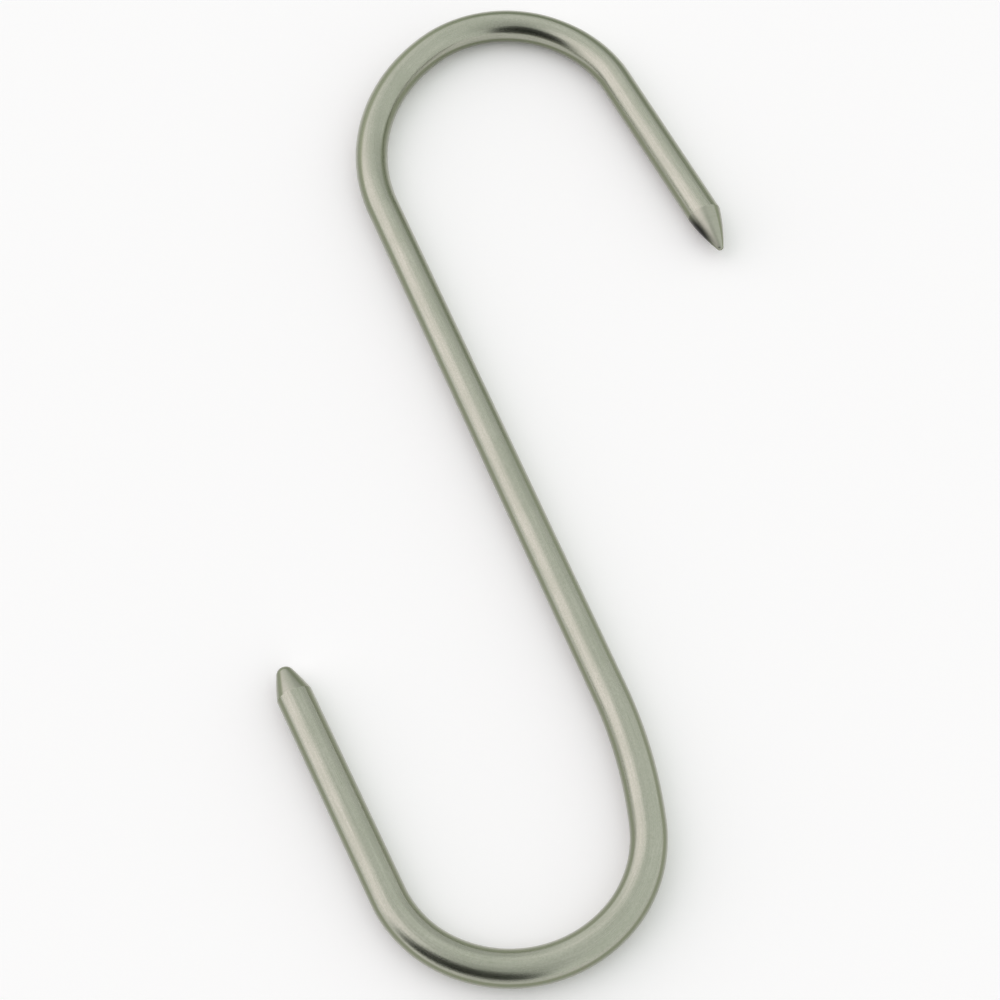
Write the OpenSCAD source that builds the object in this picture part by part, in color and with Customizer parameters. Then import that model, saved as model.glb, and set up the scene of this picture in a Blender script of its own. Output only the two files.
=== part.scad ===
// S hook bent from one round wire, with both ends ground to a point.
// It lies on its side: the shank runs along Y, the upper end is toward +Y,
// and the origin is under the middle of the hook, on the surface that it lies on.

/* [Wire] */
// Diameter of the round wire
wire_d = 5; // [3.5:0.1:7]
// Length over both bends, along the shank
overall_len = 150; // [135:1:240]

/* [Upper bend] */
// Centre line radius of the shoulder, where the shank runs into the bend
upper_shoulder_r = 28; // [20:0.5:35]
// Angle that the shoulder turns through
upper_shoulder_turn = 68.8; // [55:0.1:80]
// Centre line radius of the crown
upper_crown_r = 18.1; // [15:0.1:25]
// Angle that the crown turns through
upper_crown_turn = 64.1; // [50:0.1:80]
// Centre line radius of the heel, where the bend runs out into the leg
upper_heel_r = 20.7; // [15:0.1:30]
// Angle by which the leg opens away from the shank
upper_opening = 4.1; // [0:0.1:15]
// Straight leg between the bend and the ground point
upper_leg_len = 29; // [15:0.1:60]

/* [Lower bend] */
// Centre line radius of the long gentle curve below the shank
lower_lead_r = 63.3; // [45:0.1:80]
// Angle that the gentle curve turns through
lower_lead_turn = 17.1; // [10:0.1:24]
// Centre line radius of the shoulder
lower_shoulder_r = 17.2; // [14:0.1:24]
// Angle that the shoulder turns through
lower_shoulder_turn = 49; // [40:0.1:60]
// Centre line radius of the crown
lower_crown_r = 18.7; // [15:0.1:25]
// Angle that the crown turns through
lower_crown_turn = 72.4; // [60:0.1:80]
// Centre line radius of the heel
lower_heel_r = 16.5; // [14:0.1:24]
// Angle by which the leg opens away from the shank
lower_opening = 3.5; // [0:0.1:12]
// Straight leg between the bend and the ground point
lower_leg_len = 30.7; // [15:0.1:60]

/* [Ground points] */
// Length of the upper point
upper_point_len = 6.8; // [4:0.1:12]
// Width of the upper nose, where the ground sides end
upper_nose_w = 0.9; // [0.6:0.1:1.6]
// Radius of the dome on the upper nose
upper_nose_r = 0.6; // [0.5:0.05:2]
// Lean of the upper point toward the shank
upper_point_lean = 7.5; // [0:0.5:9]
// Length of the lower point
lower_point_len = 4.5; // [4:0.1:12]
// Width of the blunter lower nose
lower_nose_w = 2.4; // [0.6:0.1:2.4]
// Radius of the dome on the lower nose
lower_nose_r = 1.3; // [1.2:0.05:4]
// Lean of the lower point toward the shank
lower_point_lean = 1.5; // [0:0.5:9]
// Radius of the swelling side of both points, seen in profile
grind_r = 35; // [24:1:200]

/* [Hidden] */
$fn = 96;
// Steps round the large circle that gives both points their sides
grind_steps = 240;

// The wire is drawn in metres and enlarged at the end: at that size the rounding of a turned position
// is too small to leave a step between one stretch of wire and the next
mm = 0.001;

half_turn = 180;
quarter_turn = 90;
wire_r = wire_d / 2;

// Full round wire kept behind each point, so that the slanting edge of the grinding lies in one piece
grind_lead = wire_d / 2;

// Each bend is a list of arcs, from the shank to the leg, as a radius and the angle that it turns through
upper_arcs = [
    [upper_shoulder_r, upper_shoulder_turn],
    [upper_crown_r, upper_crown_turn],
    [upper_heel_r, half_turn - upper_opening - upper_shoulder_turn - upper_crown_turn]
];
lower_arcs = [
    [lower_lead_r, lower_lead_turn],
    [lower_shoulder_r, lower_shoulder_turn],
    [lower_crown_r, lower_crown_turn],
    [lower_heel_r, half_turn - lower_opening - lower_lead_turn - lower_shoulder_turn - lower_crown_turn]
];

function total(values, n = 0) = n < len(values) ? values[n] + total(values, n + 1) : 0;

// Angle turned before arc n
function turned(arcs, n) = total([for (i = [0 : 1 : n - 1]) arcs[i][1]]);

// Height of the crown's centre line above the end of the shank
function crown_rise(arcs) = total([
    for (n = [0 : len(arcs) - 1])
        arcs[n][0] * (sin(min(quarter_turn, turned(arcs, n + 1))) - sin(min(quarter_turn, turned(arcs, n))))
]);

// Distance across the bend, from the shank's axis to the end of the last arc
function bend_width(arcs) = total([
    for (n = [0 : len(arcs) - 1]) arcs[n][0] * (cos(turned(arcs, n)) - cos(turned(arcs, n + 1)))
]);

// Distance from the shank's axis to the outermost corner of an end, where its leg meets the point
function reach(arcs, leg_len, opening) = bend_width(arcs) + leg_len * sin(opening) + wire_r * cos(opening);

// Centre of the arc of radius r that bulges outward from point a up to point b
function arc_centre(a, b, r) =
    let (chord = b - a, half = norm(chord) / 2, along = chord / norm(chord))
    (a + b) / 2 + sqrt(r * r - half * half) * [-along.y, along.x];

shank_len = overall_len - wire_d - crown_rise(upper_arcs) - crown_rise(lower_arcs);
upper_reach = reach(upper_arcs, upper_leg_len, upper_opening);
lower_reach = reach(lower_arcs, lower_leg_len, lower_opening);
middle_x = (upper_reach - lower_reach) / 2;
middle_y = (shank_len + crown_rise(upper_arcs) - crown_rise(lower_arcs)) / 2;

// Straight wire along +Y, which carries what follows at its far end
module straight(length) {
    rotate([-90, 0, 0])
        cylinder(d = wire_d * mm, h = length * mm);
    translate([0, length * mm, 0])
        children();
}

// Wire that turns to the right along one arc and carries what follows at its far end
module arc(radius, turn) {
    translate([radius * mm, 0, 0]) {
        rotate([0, 0, half_turn - turn])
            rotate_extrude(angle = turn)
                translate([radius * mm, 0])
                    circle(d = wire_d * mm);
        rotate([0, 0, -turn])
            translate([-radius * mm, 0, 0])
                children();
    }
}

// All arcs of one bend, one after the other
module bend(arcs, n = 0) {
    if (n < len(arcs))
        arc(arcs[n][0], arcs[n][1])
            bend(arcs, n + 1)
                children();
    else
        children();
}

// Half outline of a ground point: a swelling side from behind its edge to the nose, and the nose's dome
module point_outline(length, nose_w, nose_r) {
    dome = nose_r - sqrt(nose_r * nose_r - nose_w * nose_w / 4);
    side = length - dome;
    intersection() {
        translate(arc_centre([wire_r, 0], [nose_w / 2, side], grind_r))
            circle(r = grind_r, $fn = grind_steps);
        translate([0, -wire_d])
            square([wire_d, wire_d + side]);
    }
    intersection() {
        translate([0, length - nose_r])
            circle(r = nose_r);
        translate([0, side])
            square([nose_w, dome]);
    }
}

// End of the wire, ground round to a point that leans toward the shank
module ground_point(length, nose_w, nose_r, lean) {
    scale(mm)
        intersection() {
            translate([0, -grind_lead, 0])
                rotate([-90, 0, 0])
                    cylinder(d = wire_d, h = grind_lead + length + nose_r);
            rotate([0, 0, -lean])
                rotate([-90, 0, 0])
                    rotate_extrude()
                        point_outline(length, nose_w, nose_r);
        }
}

// Straight leg up to the middle of the point's edge, and the point
module leg(length, point_len, nose_w, nose_r, lean) {
    straight(length - grind_lead)
        translate([0, grind_lead * mm, 0])
            ground_point(point_len, nose_w, nose_r, lean);
}

// The whole wire, from point to point
module hook() {
    color([0.66, 0.66, 0.61])
        translate([-middle_x, -middle_y, wire_r])
            scale(1 / mm) {
                straight(shank_len)
                    bend(upper_arcs)
                        leg(upper_leg_len, upper_point_len, upper_nose_w, upper_nose_r, upper_point_lean);
                rotate([0, 0, half_turn])
                    bend(lower_arcs)
                        leg(lower_leg_len, lower_point_len, lower_nose_w, lower_nose_r, lower_point_lean);
            }
}

hook();
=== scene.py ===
"""An S hook of drawn stainless wire with two ground points, lying in a plain pale studio."""

import math

import bpy
from mathutils import Matrix, Vector


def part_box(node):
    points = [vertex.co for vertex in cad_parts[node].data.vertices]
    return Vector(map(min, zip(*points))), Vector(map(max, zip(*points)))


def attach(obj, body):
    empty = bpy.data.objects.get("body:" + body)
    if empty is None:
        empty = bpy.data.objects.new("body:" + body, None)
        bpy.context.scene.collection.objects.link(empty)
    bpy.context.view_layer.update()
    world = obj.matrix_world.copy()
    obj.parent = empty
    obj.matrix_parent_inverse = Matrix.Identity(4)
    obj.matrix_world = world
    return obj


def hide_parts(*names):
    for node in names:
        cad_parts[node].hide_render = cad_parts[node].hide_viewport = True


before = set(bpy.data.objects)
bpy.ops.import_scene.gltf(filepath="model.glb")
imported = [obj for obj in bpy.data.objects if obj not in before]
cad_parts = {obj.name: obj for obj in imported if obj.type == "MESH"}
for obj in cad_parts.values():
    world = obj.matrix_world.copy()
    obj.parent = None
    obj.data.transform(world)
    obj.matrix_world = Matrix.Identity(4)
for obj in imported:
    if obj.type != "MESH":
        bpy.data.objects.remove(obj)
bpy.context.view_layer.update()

bl_info = {
    "name": "S Hook",
    "version": (1, 0, 0),
    "blender": (4, 5, 0),
    "location": "View3D > Sidebar > S Hook",
    "description": "Bends, grinds and finishes an S hook of stainless wire and lays it in a studio",
    "category": "Add Mesh",
}

MM = 0.001
HOOK_NODE = "hook"
BODY = "root"
STRAIGHT = "straight"
GROUND = "ground"

# The wire's own sizes come from the hook's box in the frame, in millimetres
hook_low, hook_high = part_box(HOOK_NODE)
WIRE_DIAMETER = (hook_high[2] - hook_low[2]) / MM
OVERALL_LENGTH = (hook_high[1] - hook_low[1]) / MM

# Place under the middle of the hook, on the surface that it lies on
HOOK_MIDDLE = ((hook_low[0] + hook_high[0]) / 2, (hook_low[1] + hook_high[1]) / 2, hook_low[2])


# Properties


def length(name, millimetres, description):
    """A size in metres, shown in the scene's own unit."""
    return bpy.props.FloatProperty(
        name=name, description=description, default=millimetres * MM, min=0, precision=5, unit="LENGTH"
    )


def angle(name, degrees, description):
    """An angle that is kept in radians."""
    return bpy.props.FloatProperty(
        name=name, description=description, default=math.radians(degrees), subtype="ANGLE"
    )


def share(name, default, description):
    """A value from nothing to all."""
    return bpy.props.FloatProperty(
        name=name, description=description, default=default, min=0, max=1, subtype="FACTOR"
    )


def count(name, default, description):
    """A whole number of rings or sides."""
    return bpy.props.IntProperty(name=name, description=description, default=default, min=3)


def level(name, default, description):
    """A strength of light, where 1 is white."""
    return bpy.props.FloatProperty(name=name, description=description, default=default, min=0)


def tint(name, default, description):
    """A colour without alpha."""
    return bpy.props.FloatVectorProperty(
        name=name, description=description, default=default, size=3, min=0, max=1, subtype="COLOR"
    )


class HookWire(bpy.types.PropertyGroup):
    """Sizes of the wire as a whole, and how finely its surface is drawn."""

    diameter: length("Wire Diameter", WIRE_DIAMETER, "Diameter of the round wire")
    overall: length("Overall Length", OVERALL_LENGTH, "Length over both bends, along the shank")
    sides: count("Sides", 80, "Steps round the wire")
    wire_rings: count("Wire Rings", 330, "Steps from the middle of the shank to a point")
    side_rings: count("Side Rings", 40, "Steps along the swelling side of a point")
    dome_rings: count("Dome Rings", 8, "Steps over the dome of a nose")
    edge: length("Edge Width", 0.05, "Width over which the edge of the grinding is broken")


class UpperEnd(bpy.types.PropertyGroup):
    """The upper bend, its leg and its sharp point."""

    lead_radius: length("Lead Radius", 28, "Radius of a gentle curve before the shoulder")
    lead_turn: angle("Lead Turn", 0, "Angle of the gentle curve, which this bend doesn't have")
    shoulder_radius: length("Shoulder Radius", 28, "Radius where the shank runs into the bend")
    shoulder_turn: angle("Shoulder Turn", 68.8, "Angle that the shoulder turns through")
    crown_radius: length("Crown Radius", 18.1, "Radius over the top of the bend")
    crown_turn: angle("Crown Turn", 64.1, "Angle that the crown turns through")
    heel_radius: length("Heel Radius", 20.7, "Radius where the bend runs out into the leg")
    opening: angle("Opening", 4.1, "Angle by which the leg opens away from the shank")
    leg: length("Leg Length", 29, "Straight leg between the bend and the point")
    point: length("Point Length", 6.8, "Length of the ground point")
    nose_width: length("Nose Width", 0.9, "Width of the nose, where the ground side ends")
    nose_radius: length("Nose Radius", 0.6, "Radius of the dome on the nose")
    lean: angle("Point Lean", 7.5, "Lean of the point toward the shank")
    swell: length("Swelling Radius", 35, "Radius of the point's side, seen in profile")


class LowerEnd(bpy.types.PropertyGroup):
    """The lower bend, its leg and its blunter point."""

    lead_radius: length("Lead Radius", 63.3, "Radius of the long gentle curve below the shank")
    lead_turn: angle("Lead Turn", 17.1, "Angle that the gentle curve turns through")
    shoulder_radius: length("Shoulder Radius", 17.2, "Radius where the gentle curve runs into the bend")
    shoulder_turn: angle("Shoulder Turn", 49, "Angle that the shoulder turns through")
    crown_radius: length("Crown Radius", 18.7, "Radius over the bottom of the bend")
    crown_turn: angle("Crown Turn", 72.4, "Angle that the crown turns through")
    heel_radius: length("Heel Radius", 16.5, "Radius where the bend runs out into the leg")
    opening: angle("Opening", 3.5, "Angle by which the leg opens away from the shank")
    leg: length("Leg Length", 30.7, "Straight leg between the bend and the point")
    point: length("Point Length", 4.5, "Length of the ground point")
    nose_width: length("Nose Width", 2.4, "Width of the nose, where the ground side ends")
    nose_radius: length("Nose Radius", 1.3, "Radius of the dome on the nose")
    lean: angle("Point Lean", 1.5, "Lean of the point toward the shank")
    swell: length("Swelling Radius", 35, "Radius of the point's side, seen in profile")


class HookFinish(bpy.types.PropertyGroup):
    """Colours and roughness of the drawn wire and of its ground points, with the painted shade at their rims
    and a dark spot on the upper point.
    """

    wire_tint: tint("Wire Colour", (0.485, 0.48, 0.412), "Colour of the drawn wire")
    dull_tint: tint("Dull Colour", (0.3, 0.32, 0.245), "Colour where the wire is duller")
    # Painted shade: a dark colour blended in toward the rims, standing in for the dark surroundings that the
    # metal reflects there
    painted_rim_shade_tint: tint("Rim Colour", (0.23, 0.25, 0.168), "Colour of the metal seen at a flat angle")
    wire_roughness: share("Wire Roughness", 0.27, "Roughness of the drawn wire")
    wire_marks: share("Draw Marks", 0.45, "Strength of the marks along the wire")
    ground_tint: tint("Ground Colour", (0.45, 0.44, 0.38), "Colour of freshly ground metal")
    ground_roughness: share("Ground Roughness", 0.3, "Roughness of the ground points")
    ground_marks: share("Grinding Marks", 0.4, "Strength of the marks round the points")
    # Colour, size and place of a dark spot that is blended into the upper point's colour
    dark_spot_tint: tint("Burn Colour", (0.02, 0.02, 0.016), "Colour where grinding has burnt the upper point")
    dark_spot_length: length("Burn Length", 5, "Half the length of the burn along the point")
    dark_spot_width: length("Burn Width", 2, "Half the width of the burn")
    dark_spot_place: length("Burn Place", 2.4, "From the wire's axis to the middle of the burn, toward the shank")


class HookStudio(bpy.types.PropertyGroup):
    """Where the camera stands, and how light the studio is."""

    azimuth: angle("Azimuth", -22.366, "Angle of the camera round the hook")
    elevation: angle("Elevation", 62.891, "Angle of the camera above the floor")
    distance: length("Distance", 282.046, "From the camera to what it aims at")
    aim_across: length("Aim Across", 5.39, "How far the aim lies to the left of the hook's middle")
    aim_below: length("Aim Below", 8.601, "How far the aim lies below the hook's middle")
    lens: bpy.props.FloatProperty(
        name="Lens", description="Focal length in millimetres", default=71.1, min=1, unit="CAMERA"
    )
    floor_width: length("Floor Width", 12000, "Width of the square floor")
    floor_tint: tint("Floor Colour", (0.985, 0.97, 0.98), "Colour of the floor")
    floor_lift: level("Floor Lift", 0.085, "Light that the floor adds to its own picture")
    dim_tint: tint("Dim Colour", (0.012, 0.014, 0.01), "Darkest colour of the room")
    room_tint: tint("Room Colour", (0.62, 0.645, 0.625), "Plain colour of the room")
    window_tint: tint("Window Colour", (1.0, 0.945, 0.985), "Lightest colour of the room")
    room_level: level("Room Level", 1.54, "Strength of the room's light, where 1 is white")


# Formulas made of nodes


class Formula:
    """A value in a node tree, to be used in plain arithmetic."""

    def __init__(self, tree, source):
        self.tree = tree
        self.source = source

    def work(self, operation, *others):
        """The result of one Math node on this value and others."""
        node = self.tree.nodes.new("ShaderNodeMath")
        node.operation = operation
        for socket, value in zip(node.inputs, (self, *others)):
            feed(self.tree, value, socket)
        return Formula(self.tree, node.outputs[0])

    def __add__(self, other):
        return self.work("ADD", other)

    __radd__ = __add__

    def __sub__(self, other):
        return self.work("SUBTRACT", other)

    def __rsub__(self, other):
        return constant(self.tree, other).work("SUBTRACT", self)

    def __mul__(self, other):
        return self.work("MULTIPLY", other)

    def __truediv__(self, other):
        return self.work("DIVIDE", other)

    def __gt__(self, other):
        return self.work("GREATER_THAN", other)

    def sine(self):
        return self.work("SINE")

    def cosine(self):
        return self.work("COSINE")

    def root(self):
        return self.work("SQRT")

    def whole(self):
        return self.work("ROUND")

    def at_most(self, other):
        return self.work("MINIMUM", other)

    def at_least(self, other):
        return self.work("MAXIMUM", other)

    def between(self, low, high):
        return self.at_least(low).at_most(high)


def feed(tree, value, socket):
    """Links a formula or a socket to a socket, or sets a plain value on it."""
    if isinstance(value, Formula):
        value = value.source
    if isinstance(value, bpy.types.NodeSocket):
        tree.links.new(value, socket)
    else:
        socket.default_value = value


def constant(tree, value):
    """A plain number as a formula."""
    node = tree.nodes.new("ShaderNodeValue")
    node.outputs[0].default_value = value
    return Formula(tree, node.outputs[0])


def choose(condition, if_true, if_false):
    """One of two formulas, by a condition of 0 or 1."""
    return if_false + condition * (if_true - if_false)


def add_node(tree, kind, inputs=None, **settings):
    """A new node with its settings and inputs, by name or number."""
    node = tree.nodes.new(kind)
    for key, value in settings.items():
        setattr(node, key, value)
    for key, value in (inputs or {}).items():
        feed(tree, value, node.inputs[key])
    return node


def vector(tree, x, y, z):
    """The vector that three formulas give."""
    return add_node(tree, "ShaderNodeCombineXYZ", {0: x, 1: y, 2: z}).outputs[0]


def parts(tree, source):
    """The three formulas that a vector holds."""
    node = add_node(tree, "ShaderNodeSeparateXYZ", {0: source})
    return [Formula(tree, out) for out in node.outputs]


# Inputs that are used in formulas
FORMULA_SOCKETS = ("NodeSocketFloat", "NodeSocketInt")


def new_group(name, kind, inputs, outputs):
    """A node tree with its interface, its inputs by name, and its output node."""
    tree = bpy.data.node_groups.new(name, kind)
    for label, socket_type, *default in inputs:
        socket = tree.interface.new_socket(label, in_out="INPUT", socket_type=socket_type)
        if default:
            socket.default_value = default[0]
    for label, socket_type in outputs:
        tree.interface.new_socket(label, in_out="OUTPUT", socket_type=socket_type)
    entry = tree.nodes.new("NodeGroupInput")
    leave = tree.nodes.new("NodeGroupOutput")
    values = {}
    for label, socket_type, *_ in inputs:
        out = entry.outputs[label]
        values[label] = Formula(tree, out) if socket_type in FORMULA_SOCKETS else out
    return tree, values, leave


# Shape of the hook, in formulas

# The sizes that both ends of the hook have, as the tree's input and the property that sets it
END_SIZES = (
    ("Lead Radius", "lead_radius"),
    ("Lead Turn", "lead_turn"),
    ("Shoulder Radius", "shoulder_radius"),
    ("Shoulder Turn", "shoulder_turn"),
    ("Crown Radius", "crown_radius"),
    ("Crown Turn", "crown_turn"),
    ("Heel Radius", "heel_radius"),
    ("Opening", "opening"),
    ("Leg Length", "leg"),
    ("Point Length", "point"),
    ("Nose Width", "nose_width"),
    ("Nose Radius", "nose_radius"),
    ("Point Lean", "lean"),
    ("Swelling Radius", "swell"),
)
WIRE_SIZES = (
    ("Wire Diameter", "diameter"),
    ("Edge Width", "edge"),
)
WIRE_COUNTS = (
    ("Sides", "sides"),
    ("Wire Rings", "wire_rings"),
    ("Side Rings", "side_rings"),
    ("Dome Rings", "dome_rings"),
)

# Inputs that no property sets
HALF_SHANK = "Half Shank"
MIDDLE = "Middle"

END_LABELS = tuple(label for label, _ in END_SIZES)
SHARED_LABELS = (*(label for label, _ in WIRE_SIZES), HALF_SHANK)
COUNT_LABELS = tuple(label for label, _ in WIRE_COUNTS)

# Half a step between rings, in ring numbers, so that comparing two of them leaves room for rounding
HALF_RING = 0.5

# Value above which a mask counts as on
MASK_ON = 0.5


def sockets(labels, kind):
    """Inputs of one kind, for the interface of a tree."""
    return [(label, kind) for label in labels]


def bend_arcs(size):
    """The arcs of one bend, from the shank to the leg, as a radius and the angle that each turns through."""
    before_heel = size["Lead Turn"] + size["Shoulder Turn"] + size["Crown Turn"]
    return (
        (size["Lead Radius"], size["Lead Turn"]),
        (size["Shoulder Radius"], size["Shoulder Turn"]),
        (size["Crown Radius"], size["Crown Turn"]),
        (size["Heel Radius"], math.pi - (size["Opening"] + before_heel)),
    )


def centre_line(tree, size, run):
    """Place and heading of the centre line after a run from the middle of the shank."""
    across = constant(tree, 0)
    ahead = run.at_most(size[HALF_SHANK])
    start = size[HALF_SHANK]
    before = constant(tree, 0)
    heading = constant(tree, 0)
    for radius, turn in bend_arcs(size):
        bent = ((run - start) / radius).between(0, turn)
        across = across + radius * (before.cosine() - (before + bent).cosine())
        ahead = ahead + radius * ((before + bent).sine() - before.sine())
        start = start + radius * turn
        before = before + turn
        heading = heading + bent
    past = (run - start).at_least(0)
    return across + past * before.sine(), ahead + past * before.cosine(), heading


def leg_end_run(size):
    """The run of the centre line from the middle of the shank to the end of the leg."""
    run = size[HALF_SHANK]
    for radius, turn in bend_arcs(size):
        run = run + radius * turn
    return run + size["Leg Length"]


def point_side(size):
    """The swelling side of a point: its length, its slope at the edge, and its radius at a distance."""
    wire_r = size["Wire Diameter"] * 0.5
    nose_w = size["Nose Width"] * 0.5
    nose_r = size["Nose Radius"]
    swell = size["Swelling Radius"]
    dome = nose_r - (nose_r * nose_r - nose_w * nose_w).root()
    side = size["Point Length"] - dome
    narrowing = wire_r - nose_w
    chord = (narrowing * narrowing + side * side).root()
    depth = (swell * swell - chord * chord * 0.25).root()
    centre_across = (wire_r + nose_w) * 0.5 - depth * side / chord
    centre_along = side * 0.5 - depth * narrowing / chord
    slope = centre_along / (wire_r - centre_across)

    def radius_at(distance):
        off = distance - centre_along
        return centre_across + (swell * swell - off * off).root()

    return side, slope, radius_at


def end_tree():
    """One end of the hook, from the middle of the shank along a bend and a leg to its ground point.

    A grid is rolled up round the centre line. Its last rings form the point, which is a solid of
    revolution that leans toward the shank, cut by the round wire in a slanting edge.
    """
    floats = sockets(SHARED_LABELS + END_LABELS, "NodeSocketFloat")
    counts = sockets(COUNT_LABELS, "NodeSocketInt")
    tree, size, leave = new_group(
        "Hook End", "GeometryNodeTree", floats + counts, [("Mesh", "NodeSocketGeometry")]
    )
    wire_rings, side_rings, dome_rings = (size[k] for k in ("Wire Rings", "Side Rings", "Dome Rings"))
    rings = wire_rings + side_rings + dome_rings

    # The grid measures 1 by 1 round its middle, so a place on it is a share of the rings and of a full turn
    grid = add_node(
        tree,
        "GeometryNodeMeshGrid",
        {"Size X": 1.0, "Size Y": 1.0, "Vertices X": rings + 1, "Vertices Y": size["Sides"] + 1},
    )
    spot = parts(tree, tree.nodes.new("GeometryNodeInputPosition").outputs[0])
    ring = ((spot[0] + 0.5) * rings).whole()
    round_angle = spot[1] * math.tau
    sine, cosine = round_angle.sine(), round_angle.cosine()

    # The edge of the grinding, where the leaning side leaves the wire's own surface
    wire_r = size["Wire Diameter"] * 0.5
    lean_sine, lean_cosine = size["Point Lean"].sine(), size["Point Lean"].cosine()
    side, slope, radius_at = point_side(size)
    slant = cosine * lean_cosine
    steepness = slope * (slant * slant + sine * sine) + slant * lean_sine
    dip = cosine * lean_sine
    edge_along = wire_r * dip * dip / (steepness * 2)
    edge_r = radius_at(edge_along)
    edge_across = edge_along * lean_sine + edge_r * slant
    edge_ahead = edge_along * lean_cosine - edge_r * dip
    edge_up = edge_r * sine
    twist = (edge_up * cosine - edge_across * sine).work(
        "ARCTAN2", edge_across * cosine + edge_up * sine
    )

    # The wire as far as that edge, where its last step is as short as the broken edge is wide
    broken = size["Edge Width"]
    leg_end = leg_end_run(size)
    line = leg_end + edge_ahead
    run = ((line - broken) * ring / (wire_rings - 1)).at_most(line)
    wire_angle = round_angle + twist * (ring / wire_rings).at_most(1)

    # The point, along its own axis: first the swelling side, then the dome on the nose
    step = ring - wire_rings
    on_point = step > HALF_RING
    on_dome = step > side_rings + HALF_RING
    share_of_side = ((step - 1) / (side_rings - 1)).between(0, 1)
    along_side = edge_along + broken + (side - edge_along - broken) * share_of_side
    nose_r = size["Nose Radius"]
    rim = (size["Nose Width"] * 0.5 / nose_r).work("ARCSINE")
    dome_angle = rim * (1 - ((step - side_rings) / dome_rings).between(0, 1))
    along_dome = size["Point Length"] - nose_r + nose_r * dome_angle.cosine()
    along = choose(on_dome, along_dome, along_side)
    point_r = choose(on_dome, nose_r * dome_angle.sine(), radius_at(along_side))

    # Both together, as offsets from the centre line across, ahead and up
    across = choose(on_point, along * lean_sine + point_r * slant, wire_r * wire_angle.cosine())
    ahead = on_point * (along * lean_cosine - point_r * dip)
    up = choose(on_point, point_r * sine, wire_r * wire_angle.sine())
    centre_across, centre_ahead, heading = centre_line(tree, size, choose(on_point, leg_end, run))
    head_sine, head_cosine = heading.sine(), heading.cosine()
    place = vector(
        tree,
        centre_across + across * head_cosine + ahead * head_sine,
        centre_ahead - across * head_sine + ahead * head_cosine,
        up,
    )
    straight_place = vector(tree, across, up, choose(on_point, leg_end + ahead, run))

    # The grid's own places are gone once the vertices have moved, so what is read from them comes first
    marked = stored(tree, grid.outputs["Mesh"], STRAIGHT, "FLOAT_VECTOR", "POINT", straight_place)
    marked = stored(tree, marked, GROUND, "FLOAT", "FACE", ring > wire_rings)
    placed = add_node(tree, "GeometryNodeSetPosition", {"Geometry": marked, "Position": place})
    feed(tree, placed.outputs[0], leave.inputs["Mesh"])
    return tree


def stored(tree, mesh, name, kind, domain, value):
    """A mesh with a named attribute on its points or its faces."""
    store = add_node(
        tree,
        "GeometryNodeStoreNamedAttribute",
        {"Geometry": mesh, "Name": name},
        data_type=kind,
        domain=domain,
    )
    feed(tree, value, next(s for s in store.inputs if s.name == "Value" and s.enabled))
    return store.outputs[0]


# Points of the mesh that are closer than this, in metres, become one
WELD_DISTANCE = 1e-6


def hook_tree(end, drawn, ground):
    """The whole hook: two ends that meet in the middle of the shank, with its middle over a given place."""
    of_ends = [f"{place} {label}" for place in ("Upper", "Lower") for label in END_LABELS]
    floats = sockets([*SHARED_LABELS, *of_ends], "NodeSocketFloat")
    counts = sockets(COUNT_LABELS, "NodeSocketInt")
    tree, size, leave = new_group(
        "S Hook",
        "GeometryNodeTree",
        [(MIDDLE, "NodeSocketVector")] + floats + counts,
        [("Geometry", "NodeSocketGeometry")],
    )
    join = tree.nodes.new("GeometryNodeJoinGeometry")
    for place in ("Upper", "Lower"):
        values = {label: size[label] for label in SHARED_LABELS + COUNT_LABELS}
        values.update({label: size[f"{place} {label}"] for label in END_LABELS})
        mesh = add_node(tree, "GeometryNodeGroup", values, node_tree=end).outputs[0]
        if place == "Lower":
            mesh = other_way(tree, mesh)
        tree.links.new(mesh, join.inputs[0])
    weld = add_node(
        tree, "GeometryNodeMergeByDistance", {"Geometry": join.outputs[0], "Distance": WELD_DISTANCE}
    )
    smooth = add_node(tree, "GeometryNodeSetShadeSmooth", {"Geometry": weld.outputs[0], "Shade Smooth": True})
    box = add_node(tree, "GeometryNodeBoundBox", {"Geometry": smooth.outputs[0]})
    low, high = parts(tree, box.outputs["Min"]), parts(tree, box.outputs["Max"])
    middle = parts(tree, size[MIDDLE])
    shift = vector(
        tree, middle[0] - (low[0] + high[0]) * 0.5, middle[1] - (low[1] + high[1]) * 0.5, middle[2] - low[2]
    )
    centred = add_node(tree, "GeometryNodeTransform", {"Geometry": smooth.outputs[0], "Translation": shift})
    real = add_node(tree, "GeometryNodeRealizeInstances", {"Geometry": centred.outputs[0]})
    wire_face = add_node(tree, "GeometryNodeSetMaterial", {"Geometry": real.outputs[0], "Material": drawn})
    is_ground = add_node(tree, "GeometryNodeInputNamedAttribute", {"Name": GROUND}, data_type="FLOAT")
    picked = Formula(tree, is_ground.outputs[0]) > MASK_ON
    point_face = add_node(
        tree,
        "GeometryNodeSetMaterial",
        {"Geometry": wire_face.outputs[0], "Selection": picked, "Material": ground},
    )
    tree.links.new(point_face.outputs[0], leave.inputs["Geometry"])
    return tree


def other_way(tree, mesh):
    """The lower end, turned by half a turn, with its place along the straight wire running backward."""
    turned = add_node(tree, "GeometryNodeTransform", {"Geometry": mesh, "Rotation": (0.0, 0.0, math.pi)})
    read = add_node(tree, "GeometryNodeInputNamedAttribute", {"Name": STRAIGHT}, data_type="FLOAT_VECTOR")
    across, up, along = parts(tree, read.outputs[0])
    backward = vector(tree, across * -1, up, along * -1)
    return stored(tree, turned.outputs[0], STRAIGHT, "FLOAT_VECTOR", "POINT", backward)


# Finishes

# Patches of haze to a metre
HAZE_SCALE = 160.0

# Noise hardly leaves this range, which is spread out to fill the whole one
NOISE_LOW = 0.25
NOISE_HIGH = 0.75

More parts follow.
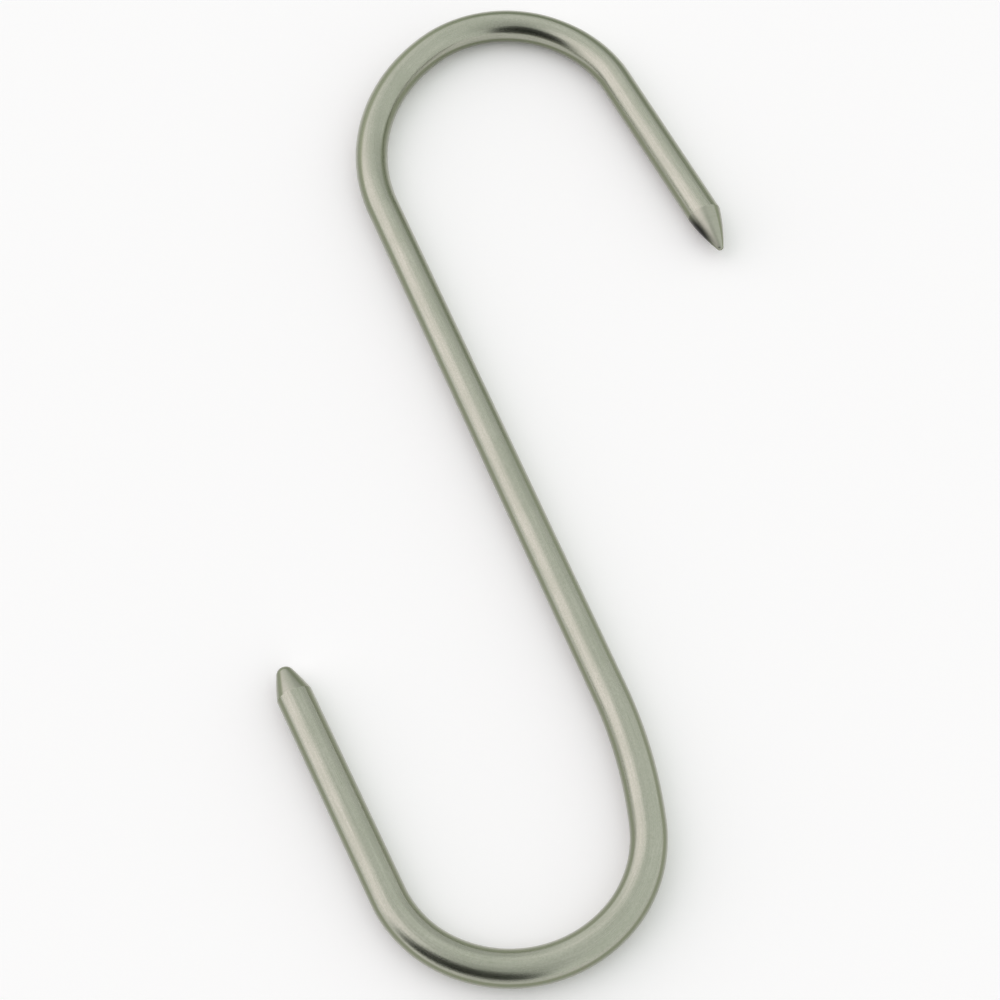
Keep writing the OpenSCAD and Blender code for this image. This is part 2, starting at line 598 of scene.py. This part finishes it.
# Marks and speckles to a metre, on the drawn wire and on the ground points
DRAW_MARKS = {"Across Scale": 3600.0, "Along Scale": 110.0, "Speckle Scale": 3800.0}
GRINDING_MARKS = {"Across Scale": 260.0, "Along Scale": 5200.0, "Speckle Scale": 4200.0}

# What each kind of mark adds to the dull colour, to the roughness and to the relief
DULLING = {"Lines": 0.35, "Speckle": 0.45, "Haze": 0.2}
ROUGHENING = {"Lines": 0.2, "Haze": 0.2}
RELIEF = {"Lines": 0.7, "Speckle": 0.3}

# Strength at which the marks dull the metal wholly, share of its roughness that unmarked metal has, and depth
# of the deepest mark
FULL_MARKS = 0.5
UNMARKED_ROUGHNESS = 0.8
RELIEF_DEPTH = 0.02 * MM

# Painted shade: the metal's colour is darkened toward its rim, standing in for the dark surroundings that it
# reflects there, and clears again at the very edge, in shares of a flat view
PAINTED_RIM_SHADE_START = 0.3
PAINTED_RIM_SHADE_DARKEST = 0.42
PAINTED_RIM_SHADE_FADES = 0.52
PAINTED_RIM_SHADE_GONE = 0.76

# Share of its reach within which a soft spot is whole
SPOT_WHOLE = 0.25

# How far past the edge of the grinding the middle of the dark spot lies, as a share of half its length
DARK_SPOT_SET_BACK = 0.5


def marks_group():
    """Fine marks that run along the straight wire or round it, and a speckle between them."""
    tree, value, leave = new_group(
        "Metal Marks",
        "ShaderNodeTree",
        [
            ("Place", "NodeSocketVector"),
            ("Across Scale", "NodeSocketFloat", 1.0),
            ("Along Scale", "NodeSocketFloat", 1.0),
            ("Speckle Scale", "NodeSocketFloat", 1.0),
        ],
        [("Lines", "NodeSocketFloat"), ("Speckle", "NodeSocketFloat"), ("Haze", "NodeSocketFloat")],
    )
    across, up, along = parts(tree, value["Place"])
    stretched = vector(
        tree, across * value["Across Scale"], up * value["Across Scale"], along * value["Along Scale"]
    )
    lines = add_node(
        tree, "ShaderNodeTexNoise", {"Vector": stretched, "Scale": 1.0, "Detail": 3.0, "Roughness": 0.6}
    )
    speckle = add_node(
        tree,
        "ShaderNodeTexNoise",
        {"Vector": value["Place"], "Scale": value["Speckle Scale"], "Detail": 2.0, "Roughness": 0.7},
    )
    haze = add_node(
        tree, "ShaderNodeTexNoise", {"Vector": value["Place"], "Scale": HAZE_SCALE, "Detail": 2.0}
    )
    for label, node in (("Lines", lines), ("Speckle", speckle), ("Haze", haze)):
        feed(tree, spread(tree, node.outputs[0]), leave.inputs[label])
    return tree


def spread(tree, noise):
    """Noise spread out to fill the range from nothing to all."""
    node = add_node(
        tree, "ShaderNodeMapRange", {"Value": noise, "From Min": NOISE_LOW, "From Max": NOISE_HIGH}
    )
    return node.outputs[0]


def soft_step(tree, value, start, end, low, high):
    """A formula that goes smoothly from low to high while the value goes from start to end."""
    node = add_node(
        tree,
        "ShaderNodeMapRange",
        {"Value": value, "From Min": start, "From Max": end, "To Min": low, "To Max": high},
        interpolation_type="SMOOTHSTEP",
    )
    return Formula(tree, node.outputs[0])


def blend_colour(tree, factor, first, second):
    """A mix of two colours."""
    node = tree.nodes.new("ShaderNodeMix")
    node.data_type = "RGBA"
    feed(tree, factor, node.inputs["Factor"])
    slots = [s for s in node.inputs if s.type == "RGBA"]
    feed(tree, first, slots[0])
    feed(tree, second, slots[1])
    return next(s for s in node.outputs if s.type == "RGBA")


def opaque(colour):
    """A colour property as the four values that a socket takes."""
    return (*colour, 1.0)


def soft_spot(tree, place, middle, reach):
    """A soft mask, full round its middle and gone where its reach ends."""
    away = add_node(tree, "ShaderNodeVectorMath", {0: place, 1: middle}, operation="SUBTRACT")
    scaled = add_node(tree, "ShaderNodeVectorMath", {0: away.outputs[0], 1: reach}, operation="DIVIDE")
    distance = add_node(tree, "ShaderNodeVectorMath", {0: scaled.outputs[0]}, operation="LENGTH")
    return soft_step(tree, distance.outputs["Value"], SPOT_WHOLE, 1, 1, 0)


def weighed(values, weights):
    """The sum of named values, each times its weight."""
    return sum(values[name] * weight for name, weight in weights.items())


def metal(name, light, dull, rim, roughness, marks, group, scales, darkened_spot=None):
    """A metal with marks in its colour, roughness and relief, painted shade toward its rim for the dark
    reflections there, and a dark spot where one is given.
    """
    material = bpy.data.materials.new(name)
    material.use_nodes = True
    tree = material.node_tree
    shader = tree.nodes["Principled BSDF"]
    place = add_node(tree, "ShaderNodeAttribute", attribute_name=STRAIGHT).outputs["Vector"]
    look = add_node(tree, "ShaderNodeGroup", {"Place": place, **scales}, node_tree=group)
    seen = {out.name: Formula(tree, out) for out in look.outputs}
    dullness = weighed(seen, DULLING) * (marks / FULL_MARKS)
    colour = blend_colour(tree, dullness, opaque(light), opaque(dull))
    # Painted shade: darkens the colour toward the rim, in place of the dark reflections there
    flat_view = add_node(tree, "ShaderNodeLayerWeight", {"Blend": 0.5}).outputs["Facing"]
    painted_rim_shade_mask = soft_step(tree, flat_view, PAINTED_RIM_SHADE_START, PAINTED_RIM_SHADE_DARKEST, 0, 1)
    painted_rim_shade_mask = painted_rim_shade_mask * soft_step(tree, flat_view, PAINTED_RIM_SHADE_FADES, PAINTED_RIM_SHADE_GONE, 1, 0)
    colour = blend_colour(tree, painted_rim_shade_mask, colour, opaque(rim))
    # A dark spot on the upper point, set back past the edge of the grinding, blended into the colour
    if darkened_spot:
        dark_spot_colour, middle, reach = darkened_spot
        dark_spot_mask = soft_spot(tree, place, middle, reach)
        colour = blend_colour(tree, dark_spot_mask, colour, opaque(dark_spot_colour))
    feed(tree, colour, shader.inputs["Base Color"])
    rough = (weighed(seen, ROUGHENING) + UNMARKED_ROUGHNESS) * roughness
    feed(tree, rough, shader.inputs["Roughness"])
    shader.inputs["Metallic"].default_value = 1.0
    bump = add_node(
        tree,
        "ShaderNodeBump",
        {"Height": weighed(seen, RELIEF), "Strength": marks, "Distance": RELIEF_DEPTH},
    )
    feed(tree, bump.outputs[0], shader.inputs["Normal"])
    return material


def hook_finishes(finish, upper_edge):
    """The finishes of the drawn wire and of the ground points, both with painted shade at their rims, with
    the dark spot set back from the upper edge.
    """
    dark_spot_reach = (finish.dark_spot_width, finish.dark_spot_width, finish.dark_spot_length)
    dark_spot_middle = (finish.dark_spot_place, 0, upper_edge + finish.dark_spot_length * DARK_SPOT_SET_BACK)
    group = marks_group()
    drawn = metal(
        "Drawn stainless wire",
        finish.wire_tint,
        finish.dull_tint,
        finish.painted_rim_shade_tint,
        finish.wire_roughness,
        finish.wire_marks,
        group,
        DRAW_MARKS,
    )
    ground = metal(
        "Ground stainless point",
        finish.ground_tint,
        finish.dull_tint,
        finish.painted_rim_shade_tint,
        finish.ground_roughness,
        finish.ground_marks,
        group,
        GRINDING_MARKS,
        (finish.dark_spot_tint, dark_spot_middle, dark_spot_reach),
    )
    return drawn, ground


# The hook


def crown_rise(size):
    """Height of the crown's centre line above the end of the shank."""
    rise = 0
    heading = 0
    for radius, turn in bend_arcs(size):
        top = min(math.pi / 2, heading + turn)
        rise += radius * (math.sin(top) - math.sin(min(math.pi / 2, heading)))
        heading += turn
    return rise


def set_inputs(modifier, values):
    """Sets a modifier's inputs by the names that its tree gives them."""
    identifiers = {
        item.name: item.identifier
        for item in modifier.node_group.interface.items_tree
        if item.item_type == "SOCKET" and item.in_out == "INPUT"
    }
    for name, value in values.items():
        modifier[identifiers[name]] = value


def drop_empty_slots(mesh):
    """Takes out the material slots that the nodes leave empty."""
    for slot in reversed(range(len(mesh.materials))):
        if mesh.materials[slot] is None:
            mesh.materials.pop(index=slot)


class HOOK_OT_bend(bpy.types.Operator):
    """Bend the wire, grind its two points and give both their finish"""

    bl_idname = "hook.bend"
    bl_label = "Bend Hook"

    def execute(self, context):
        settings = context.scene.s_hook
        wire = settings.wire
        upper, lower = (
            {label: getattr(end, key) for label, key in END_SIZES} for end in (settings.upper, settings.lower)
        )
        shank = wire.overall - wire.diameter - crown_rise(upper) - crown_rise(lower)
        if shank <= 0:
            raise RuntimeError("the bends are longer than the hook, which leaves no shank between them")
        values = {label: getattr(wire, key) for label, key in WIRE_SIZES + WIRE_COUNTS}
        values[MIDDLE] = HOOK_MIDDLE
        values[HALF_SHANK] = shank / 2
        for place, end in (("Upper", upper), ("Lower", lower)):
            values.update({f"{place} {label}": value for label, value in end.items()})

        bend_length = sum(radius * turn for radius, turn in bend_arcs(upper))
        upper_edge = shank / 2 + bend_length + upper["Leg Length"]
        drawn, ground = hook_finishes(settings.finish, upper_edge)
        carrier = bpy.data.objects.new("hook_carrier", bpy.data.meshes.new("hook_carrier"))
        context.scene.collection.objects.link(carrier)
        modifier = carrier.modifiers.new("S Hook", "NODES")
        modifier.node_group = hook_tree(end_tree(), drawn, ground)
        set_inputs(modifier, values)
        mesh = bpy.data.meshes.new_from_object(carrier.evaluated_get(context.evaluated_depsgraph_get()))
        bpy.data.objects.remove(carrier)
        if not mesh.polygons:
            raise RuntimeError("the wire came out empty")
        mesh.name = "bent_wire"
        drop_empty_slots(mesh)
        piece = bpy.data.objects.new(mesh.name, mesh)
        context.scene.collection.objects.link(piece)
        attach(piece, BODY)
        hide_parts(HOOK_NODE)
        return {"FINISHED"}


# The studio

# Nearest distance that the camera sees
CLIP_START = 10 * MM


def direction(azimuth, elevation):
    """A unit vector from angles in degrees: azimuth 0 points along +X and 90 along +Y."""
    azimuth, elevation = math.radians(azimuth), math.radians(elevation)
    flat = math.cos(elevation)
    return flat * math.cos(azimuth), flat * math.sin(azimuth), math.sin(elevation)


# Soft patches of the room: azimuth and elevation of the middle, then how far from the middle a patch is
# whole and where it ends, all in degrees, and how much lighter or darker it makes the room
ROOM_PATCHES = (
    (160, 23, 16, 58, 1.1),
    (105, 38, 5, 40, 0.25),
    (155, -16, 10, 33, -1.3),
    (-138, 13, 25, 46, -1.9),
    (-125, 50, 5, 42, -0.35),
    (50, 12, 10, 42, -0.33),
    (160, 78, 5, 32, -0.15),
)

# Lightness of the room where it is plain and where it is lightest; where it is darkest, it is 0
PLAIN = 1
LIGHTEST = 2

# The patches fade over this height above the floor, in degrees, so that the plain room meets the floor
SKIRTING_HEIGHT = 6


def room(studio):
    """The walls and ceiling of the room, as soft patches of light and shade."""
    world = bpy.data.worlds.new("Room")
    world.use_nodes = True
    tree = world.node_tree
    sky = add_node(tree, "ShaderNodeTexCoord").outputs["Generated"]
    shades = constant(tree, 0)
    for azimuth, elevation, whole, end, amount in ROOM_PATCHES:
        toward = add_node(
            tree, "ShaderNodeVectorMath", {0: sky, 1: direction(azimuth, elevation)}, operation="DOT_PRODUCT"
        )
        edges = math.cos(math.radians(end)), math.cos(math.radians(whole))
        shades = shades + soft_step(tree, toward.outputs["Value"], *edges, 0, amount)
    top = math.sin(math.radians(SKIRTING_HEIGHT))
    lightness = shades * soft_step(tree, parts(tree, sky)[2], 0, top, 0, 1) + PLAIN
    ramp = add_node(tree, "ShaderNodeValToRGB", {"Fac": lightness / LIGHTEST})
    stops = ramp.color_ramp.elements
    stops[0].color = opaque(studio.dim_tint)
    stops[1].color = opaque(studio.window_tint)
    stops.new(PLAIN / LIGHTEST).color = opaque(studio.room_tint)
    feed(tree, ramp.outputs["Color"], tree.nodes["Background"].inputs["Color"])
    tree.nodes["Background"].inputs["Strength"].default_value = studio.room_level
    return world


def floor_finish(studio):
    """A matt floor that lifts its own picture to white and keeps the hook's shadow."""
    material = bpy.data.materials.new("Pale floor")
    material.use_nodes = True
    tree = material.node_tree
    tree.nodes.remove(tree.nodes["Principled BSDF"])
    matt = add_node(tree, "ShaderNodeBsdfDiffuse", {"Color": opaque(studio.floor_tint)})
    rays = tree.nodes.new("ShaderNodeLightPath")
    seen = Formula(tree, rays.outputs["Is Camera Ray"])
    for ray in ("Is Glossy Ray", "Is Transmission Ray"):
        seen = seen.at_least(Formula(tree, rays.outputs[ray]))
    lift = add_node(tree, "ShaderNodeEmission", {"Strength": seen * studio.floor_lift})
    both = add_node(tree, "ShaderNodeAddShader", {0: matt.outputs[0], 1: lift.outputs[0]})
    tree.links.new(both.outputs[0], tree.nodes["Material Output"].inputs["Surface"])
    return material


class HOOK_OT_studio(bpy.types.Operator):
    """Lay the floor, light the room and set up the camera"""

    bl_idname = "hook.studio"
    bl_label = "Set Up Studio"

    def execute(self, context):
        scene = context.scene
        studio = scene.s_hook.studio
        scene.view_settings.view_transform = "Standard"
        scene.world = room(studio)

        half = studio.floor_width / 2
        mesh = bpy.data.meshes.new("floor")
        corners = [(-half, -half, 0), (half, -half, 0), (half, half, 0), (-half, half, 0)]
        mesh.from_pydata(corners, [], [(0, 1, 2, 3)])
        mesh.materials.append(floor_finish(studio))
        floor = bpy.data.objects.new("floor", mesh)
        scene.collection.objects.link(floor)

        flat = math.cos(studio.elevation)
        right = Vector((math.cos(studio.azimuth), math.sin(studio.azimuth), 0))
        back = Vector(
            (math.sin(studio.azimuth) * flat, -math.cos(studio.azimuth) * flat, math.sin(studio.elevation))
        )
        up = back.cross(right)
        aim = Vector((-studio.aim_across, -studio.aim_below, scene.s_hook.wire.diameter / 2))
        camera = bpy.data.cameras.new("camera")
        camera.lens = studio.lens
        camera.clip_start = CLIP_START
        camera_object = bpy.data.objects.new("camera", camera)
        turn = Matrix((right, up, back)).transposed().to_4x4()
        camera_object.matrix_world = Matrix.Translation(aim + back * studio.distance) @ turn
        scene.collection.objects.link(camera_object)
        scene.camera = camera_object
        return {"FINISHED"}


class HookSettings(bpy.types.PropertyGroup):
    """Everything that can be set about the hook and its studio."""

    wire: bpy.props.PointerProperty(type=HookWire, name="Wire", description="The wire as a whole")
    upper: bpy.props.PointerProperty(type=UpperEnd, name="Upper End", description="Upper bend and point")
    lower: bpy.props.PointerProperty(type=LowerEnd, name="Lower End", description="Lower bend and point")
    finish: bpy.props.PointerProperty(type=HookFinish, name="Finish", description="Finish of the metal")
    studio: bpy.props.PointerProperty(type=HookStudio, name="Studio", description="Camera, floor and light")


class HOOK_PT_panel(bpy.types.Panel):
    """Sizes and finish of the hook, and the buttons that make it"""

    bl_idname = "HOOK_PT_panel"
    bl_label = "S Hook"
    bl_space_type = "VIEW_3D"
    bl_region_type = "UI"
    bl_category = "S Hook"

    def draw(self, context):
        settings = context.scene.s_hook
        for group, operator in PANEL_ROWS:
            box = self.layout.box()
            values = getattr(settings, group)
            box.label(text=settings.bl_rna.properties[group].name)
            for key in values.bl_rna.properties.keys():
                if key not in ("rna_type", "name"):
                    box.prop(values, key)
            if operator:
                box.operator(operator)


# Each group of settings, with the button that stands below it
PANEL_ROWS = (
    ("wire", None),
    ("upper", None),
    ("lower", None),
    ("finish", "hook.bend"),
    ("studio", "hook.studio"),
)

CLASSES = (
    HookWire,
    UpperEnd,
    LowerEnd,
    HookFinish,
    HookStudio,
    HookSettings,
    HOOK_OT_bend,
    HOOK_OT_studio,
    HOOK_PT_panel,
)


def register():
    """Adds the hook's settings, buttons and panel."""
    for cls in CLASSES:
        bpy.utils.register_class(cls)
    bpy.types.Scene.s_hook = bpy.props.PointerProperty(type=HookSettings)


def unregister():
    """Takes them out again."""
    del bpy.types.Scene.s_hook
    for cls in reversed(CLASSES):
        bpy.utils.unregister_class(cls)


def main():
    """Makes the hook and its studio."""
    register()
    bpy.ops.hook.bend()
    bpy.ops.hook.studio()


if __name__ == "__main__":
    main()
